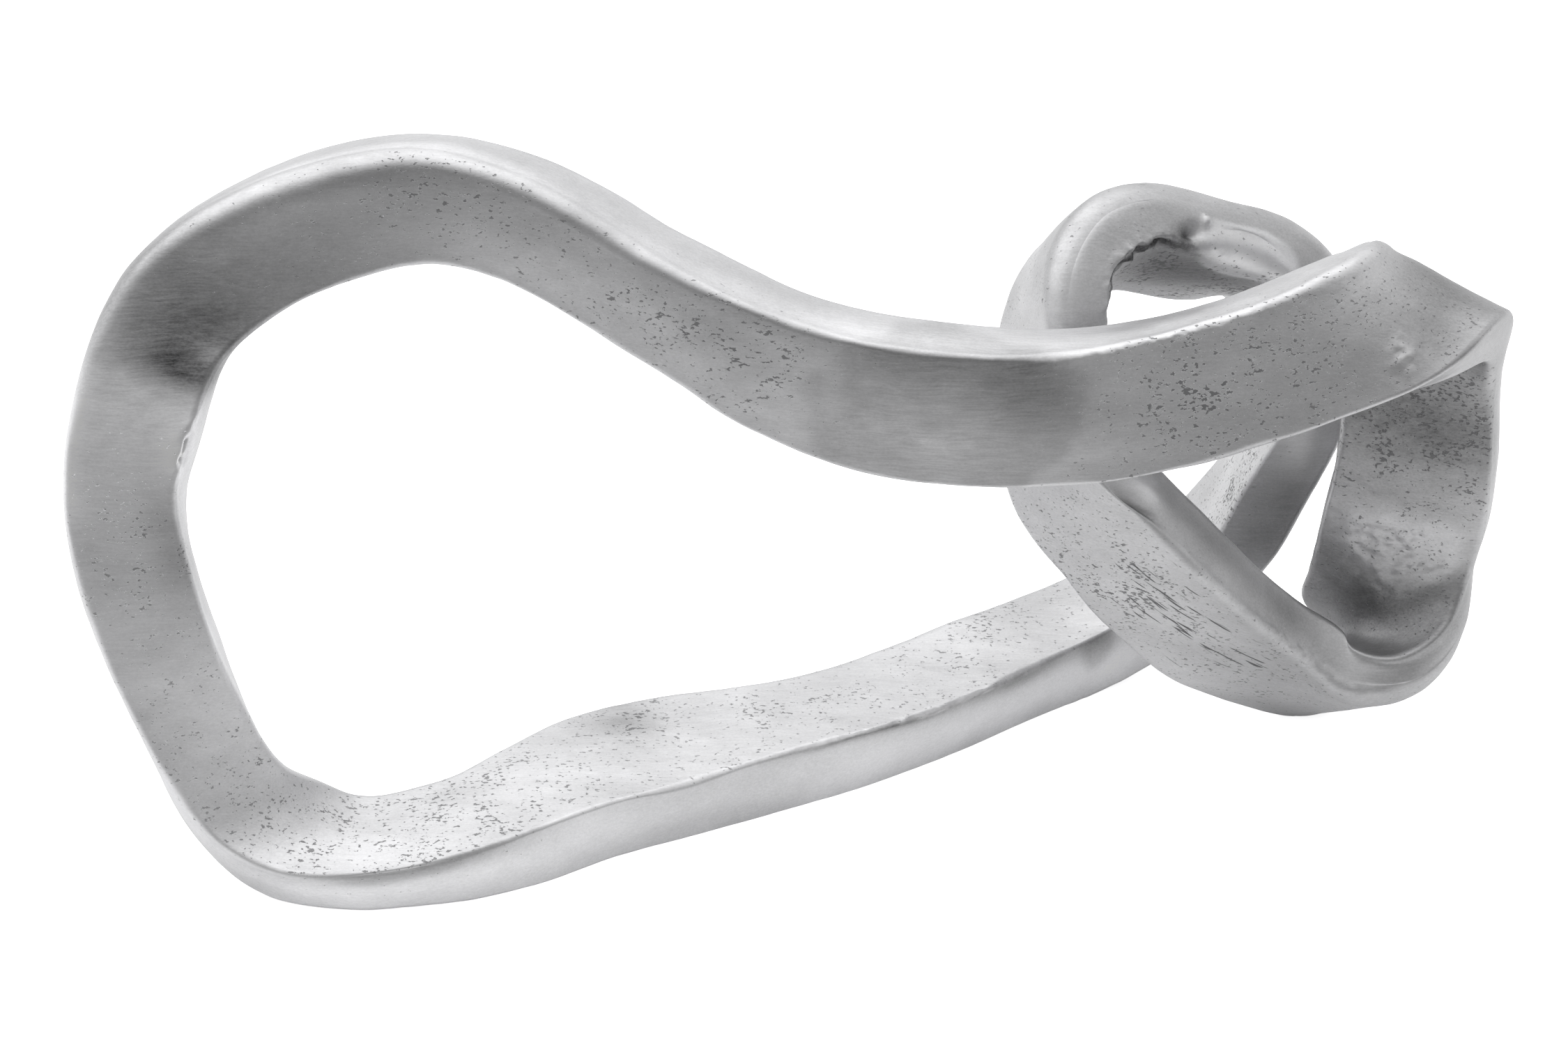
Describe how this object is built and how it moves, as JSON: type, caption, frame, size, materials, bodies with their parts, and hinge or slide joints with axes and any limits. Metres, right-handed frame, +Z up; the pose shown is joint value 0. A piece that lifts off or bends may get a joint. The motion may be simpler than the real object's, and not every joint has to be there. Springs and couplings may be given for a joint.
{
  "type": "freeform metal knot sculpture",
  "caption": "Free-standing sculpture: one heavy cast aluminium bar looped, folded and closed on itself like a loose knot, welded from separate castings and ground flat where it rests.",
  "frame": {"origin": "on the surface that the knot rests on, under the middle of its bounding box", "axes": "+X to the right along the knot's length, seen from the front; +Y to the back; +Z up"},
  "size_m": [0.5634, 0.223, 0.2938],
  "materials": {
    "cast_aluminium": "cast skin, partly ground and brushed",
    "weld_metal": "dressed weld"
  },
  "bodies": {
    "root": {"lower_left_bend": "cast_aluminium", "left_bend": "cast_aluminium", "upper_arm": "cast_aluminium", "corner_bend": "cast_aluminium", "foot_bend": "cast_aluminium", "eye_front_half": "cast_aluminium", "eye_back_half": "cast_aluminium", "lower_arm": "cast_aluminium", "weld_lower_left_bend_to_left_bend": "weld_metal", "weld_left_bend_to_upper_arm": "weld_metal", "weld_upper_arm_to_corner_bend": "weld_metal", "weld_corner_bend_to_foot_bend": "weld_metal", "weld_foot_bend_to_eye_front_half": "weld_metal", "weld_eye_front_half_to_eye_back_half": "weld_metal", "weld_eye_back_half_to_lower_arm": "weld_metal", "weld_lower_arm_to_lower_left_bend": "weld_metal"}
  },
  "joints": []
}
